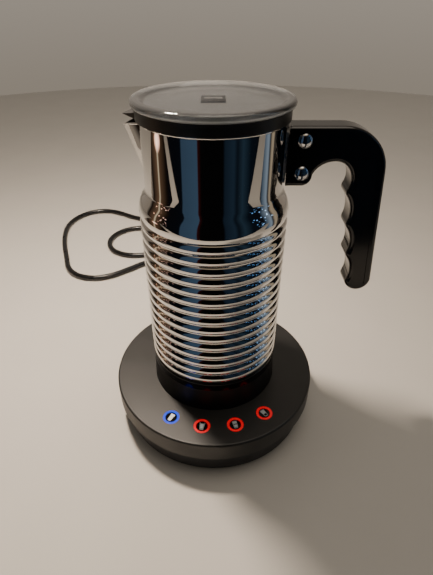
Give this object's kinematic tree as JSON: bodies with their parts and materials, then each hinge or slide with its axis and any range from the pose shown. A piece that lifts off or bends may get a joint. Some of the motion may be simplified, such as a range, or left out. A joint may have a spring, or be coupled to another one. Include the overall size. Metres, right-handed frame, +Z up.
{
  "type": "milk frother",
  "caption": "Electric milk frother: ribbed polished jug with spout, clear lid and black handle on a round heating base with lit buttons and mains lead.",
  "frame": {"origin": "centre of the rubber foot ring's resting face", "axes": "+Z up along the jug's axis, +X towards the handle, -X towards the spout, -Y towards the buttons"},
  "size_m": [0.3007, 0.4087, 0.2235],
  "materials": {
    "satin_black_abs": "fine satin moulded",
    "grey_black_abs": "fine matte moulded",
    "gloss_black_abs": "gloss moulded",
    "gloss_black_handle": "gloss moulded",
    "rubber": "matte",
    "zinc_steel": "zinc plated",
    "copper_litz": "lacquered copper wire",
    "cream_nylon": "moulded",
    "ferrite": "pressed and fired",
    "circuit_board": "solder mask",
    "dark_component": "moulded",
    "cord_rubber": "satin moulded",
    "cord_pvc": "semi-gloss extruded",
    "nickel_brass": "nickel plated",
    "polished_steel": "mirror polished stainless steel",
    "nonstick_coating": "sprayed non-stick coating",
    "brushed_steel": "brushed",
    "chrome": "polished plate",
    "clear_lid": "clear moulded copolyester, lightly smoked",
    "soft_black_seal": "soft satin",
    "badge_steel": "satin plate",
    "whisk_steel": "polished wire",
    "magnet_nickel": "nickel plated",
    "button_black": "gloss moulded",
    "blue_light": "lit light guide",
    "red_light": "lit light guide"
  },
  "bodies": {
    "base": {"base_top_cover": "satin_black_abs", "base_bottom_cover": "grey_black_abs", "foot_ring": "rubber", "cover_screws": "zinc_steel", "plinth_collar": "gloss_black_abs", "induction_coil": "copper_litz", "coil_carrier": "cream_nylon", "ferrite_bars": "ferrite", "base_chassis": "cream_nylon", "motor_can": "zinc_steel", "power_board": "circuit_board", "power_components": "dark_component", "control_board": "circuit_board", "button_switches": "dark_component", "cord_strain_relief": "cord_rubber", "power_cord": "cord_pvc", "mains_plug": "cord_pvc", "plug_pins": "nickel_brass", "cold_froth_light_ring": "blue_light", "hot_milk_light_ring": "red_light", "light_froth_light_ring": "red_light", "dense_froth_light_ring": "red_light"},
    "rotor": {"motor_shaft": "brushed_steel", "magnet_carrier": "cream_nylon", "drive_magnets": "magnet_nickel"},
    "jug": {"jug_shell": "polished_steel", "inner_vessel": "nonstick_coating", "jug_bottom_cap": "gloss_black_abs", "whisk_pin": "brushed_steel", "handle": "gloss_black_handle", "handle_bracket": "brushed_steel", "handle_screws": "chrome", "handle_nuts": "chrome"},
    "lid": {"lid_disc": "clear_lid", "lid_seal": "soft_black_seal", "lid_badge": "badge_steel"},
    "whisk": {"whisk_ring": "whisk_steel", "whisk_hub": "gloss_black_abs", "whisk_magnets": "magnet_nickel"},
    "cold_froth_button": {"cold_froth_button": "button_black"},
    "hot_milk_button": {"hot_milk_button": "button_black"},
    "light_froth_button": {"light_froth_button": "button_black"},
    "dense_froth_button": {"dense_froth_button": "button_black"}
  },
  "joints": [
    {"name": "jug_lift", "type": "slide", "parent": "base", "child": "jug", "axis": [0, 0, 1], "range_m": [0, 0.06]},
    {"name": "lid_lift", "type": "slide", "parent": "jug", "child": "lid", "axis": [0, 0, 1], "range_m": [0, 0.04]},
    {"name": "motor_spin", "type": "hinge", "parent": "base", "child": "rotor", "pos_m": [0, 0, 0.04], "axis": [0, 0, 1], "continuous": true},
    {"name": "whisk_spin", "type": "hinge", "parent": "jug", "child": "whisk", "pos_m": [0, 0, 0.067], "axis": [0, 0, 1], "continuous": true},
    {"name": "cold_froth_press", "type": "slide", "parent": "base", "child": "cold_froth_button", "axis": [0, 0, -1], "range_m": [0, 0.0005], "stiffness_N_per_m": 600},
    {"name": "hot_milk_press", "type": "slide", "parent": "base", "child": "hot_milk_button", "axis": [0, 0, -1], "range_m": [0, 0.0005], "stiffness_N_per_m": 600},
    {"name": "light_froth_press", "type": "slide", "parent": "base", "child": "light_froth_button", "axis": [0, 0, -1], "range_m": [0, 0.0005], "stiffness_N_per_m": 600},
    {"name": "dense_froth_press", "type": "slide", "parent": "base", "child": "dense_froth_button", "axis": [0, 0, -1], "range_m": [0, 0.0005], "stiffness_N_per_m": 600}
  ],
  "couplings": [
    {"joint": "whisk_spin", "follows": "motor_spin", "ratio": 1}
  ]
}
